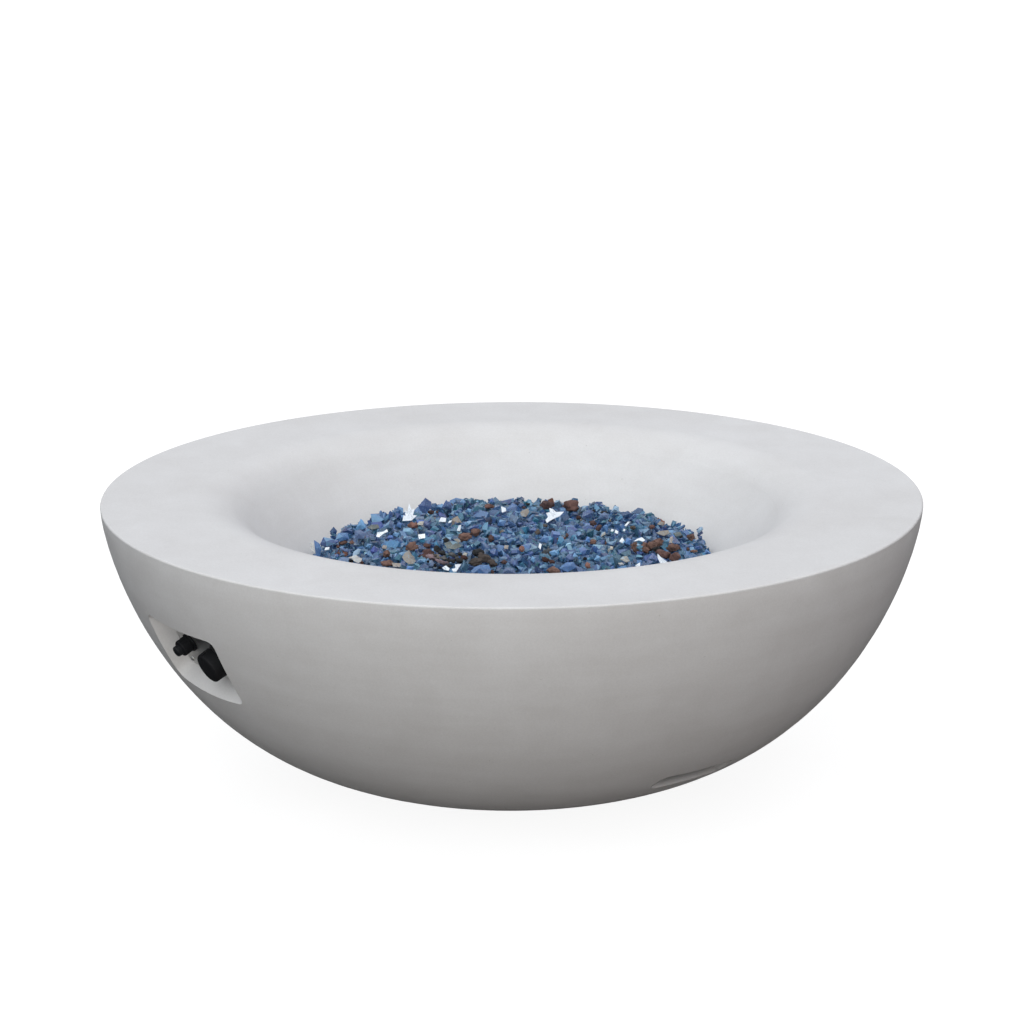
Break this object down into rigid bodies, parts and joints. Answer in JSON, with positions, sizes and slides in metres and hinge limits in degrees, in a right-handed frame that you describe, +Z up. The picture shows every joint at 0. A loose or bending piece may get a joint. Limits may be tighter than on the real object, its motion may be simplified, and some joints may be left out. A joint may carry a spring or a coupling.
{
  "type": "gas fire bowl",
  "caption": "Floor-standing round concrete fire bowl: broad flat rim, basin of fire glass over a gas ring burner, recessed control plate with push-and-turn knob and igniter, hose slot low down.",
  "frame": {"origin": "on the floor, under the bowl's centre", "axes": "+Z up; the control pocket faces -Y; the hose slot faces +X"},
  "size_m": [1.0664, 1.0664, 0.3634],
  "materials": {
    "concrete": "matte",
    "fire_glass": "gloss",
    "lava_rock": "matte",
    "plate_steel": "satin",
    "black_bezel": "satin",
    "black_knob": "matte",
    "black_plastic": "satin",
    "button_plastic": "satin",
    "stainless": "satin",
    "zinc_steel": "satin",
    "brass": "satin",
    "cast_alloy": "satin",
    "gas_hose": "satin",
    "lead_sleeve": "satin",
    "copper_lead": "satin",
    "white_ceramic": "satin",
    "battery_can": "satin",
    "rubber_foot": "matte",
    "seal": "matte"
  },
  "bodies": {
    "bowl": {"air_mixer": "cast_alloy", "base_plate": "stainless", "base_plate_screws": "zinc_steel", "bowl_shell": "concrete", "bracket_nuts": "zinc_steel", "bracket_screws": "zinc_steel", "burner_feed_hose": "gas_hose", "burner_nipple": "stainless", "burner_pan": "stainless", "button_spring": "zinc_steel", "control_plate": "plate_steel", "control_plate_screws": "plate_steel", "electrode_bracket": "stainless", "electrode_insulator": "white_ceramic", "electrode_rod": "stainless", "feed_hose_nuts": "brass", "fire_glass": "fire_glass", "foot_screws": "zinc_steel", "gas_inlet_fitting": "brass", "gas_jet": "brass", "gas_valve_body": "cast_alloy", "igniter_battery": "battery_can", "igniter_end_cap": "black_plastic", "igniter_housing": "black_plastic", "igniter_nut": "black_plastic", "ignition_lead": "lead_sleeve", "inlet_bracket": "zinc_steel", "inlet_bracket_screws": "zinc_steel", "inlet_hose": "gas_hose", "inlet_hose_nuts": "brass", "inlet_locknut": "brass", "jet_elbow": "brass", "lava_rock": "lava_rock", "lead_boot": "lead_sleeve", "pan_gasket": "seal", "pan_locknuts": "stainless", "ring_burner": "stainless", "rubber_feet": "rubber_foot", "thermocouple_lead": "copper_lead", "thermocouple_probe": "stainless", "threaded_inserts": "brass", "valve_bezel": "black_bezel", "valve_locknut": "zinc_steel", "valve_spring": "zinc_steel"},
    "valve_push": {"spring_washer": "zinc_steel"},
    "knob": {"control_knob": "black_knob", "valve_stem": "zinc_steel"},
    "cap_stage": {"igniter_cap_seal": "seal"},
    "cap": {"igniter_cap": "black_plastic"},
    "button": {"igniter_button": "button_plastic"}
  },
  "joints": [
    {"name": "knob_push", "type": "slide", "parent": "bowl", "child": "valve_push", "axis": [0, 0.9063, 0.4226], "range_m": [0, 0.003], "stiffness_N_per_m": 1200, "springref_m": -0.003, "deforming": ["valve_spring"]},
    {"name": "knob_turn", "type": "hinge", "parent": "valve_push", "child": "knob", "pos_m": [0.035, -0.46638, 0.23195], "axis": [0, -0.9063, -0.4226], "range_deg": [0, 180]},
    {"name": "cap_lift", "type": "slide", "parent": "bowl", "child": "cap_stage", "axis": [0, -0.9063, -0.4226], "range_m": [0, 0.0045]},
    {"name": "cap_unscrew", "type": "hinge", "parent": "cap_stage", "child": "cap", "pos_m": [-0.033, -0.469, 0.23757], "axis": [0, -0.9063, -0.4226], "range_deg": [0, 1080.5]},
    {"name": "button_press", "type": "slide", "parent": "cap", "child": "button", "axis": [0, 0.9063, 0.4226], "range_m": [0, 0.003], "stiffness_N_per_m": 400, "springref_m": -0.0015, "deforming": ["button_spring"]}
  ],
  "couplings": [
    {"joint": "cap_unscrew", "follows": "cap_lift", "rad_per_m": 4188.8}
  ]
}
